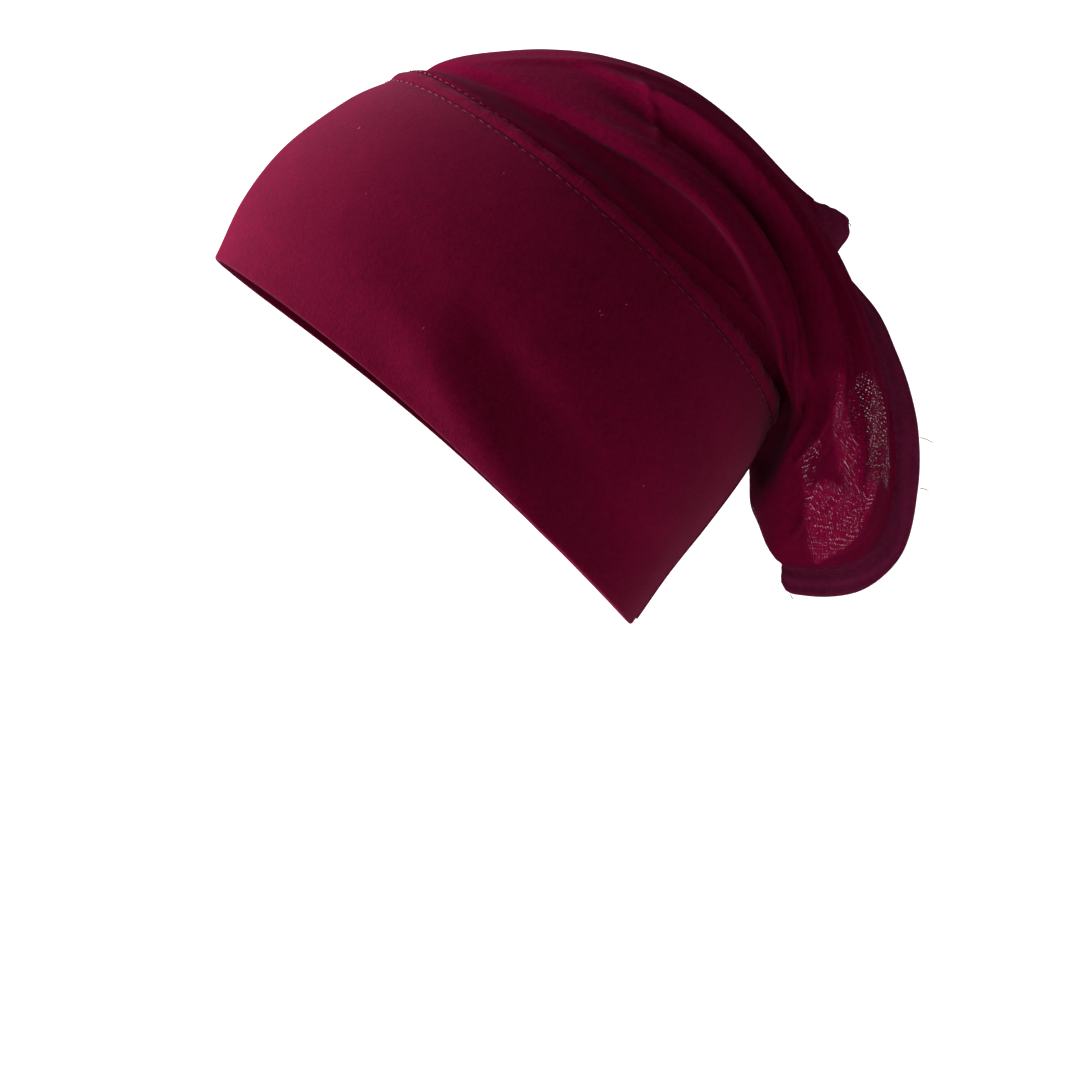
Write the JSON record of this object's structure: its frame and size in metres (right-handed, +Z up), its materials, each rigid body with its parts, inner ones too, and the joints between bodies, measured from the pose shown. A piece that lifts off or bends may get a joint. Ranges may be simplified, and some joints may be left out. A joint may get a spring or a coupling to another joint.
{
  "type": "hijab underscarf cap",
  "caption": "Slip-on underscarf cap: a doubled jersey head band, a raised crown seam and a thin gathered crown that hangs behind as a soft pouch.",
  "frame": {"origin": "middle of the head band on the median plane, where the head holds the cap", "axes": "+X is the wearer's left, -Y the way the face looks, +Z is up, with the head upright"},
  "size_m": [0.1532, 0.2569, 0.2057],
  "materials": {
    "band_jersey": "brushed knitted jersey",
    "seam_jersey": "jersey over a seam, stitched",
    "crown_voile": "thin open plain weave",
    "hem_voile": "doubled thin plain weave"
  },
  "bodies": {
    "root": {"headband": "band_jersey", "join_seam": "seam_jersey", "crown_bag": "crown_voile", "end_hem": "hem_voile", "back_seam": "seam_jersey"}
  },
  "joints": []
}
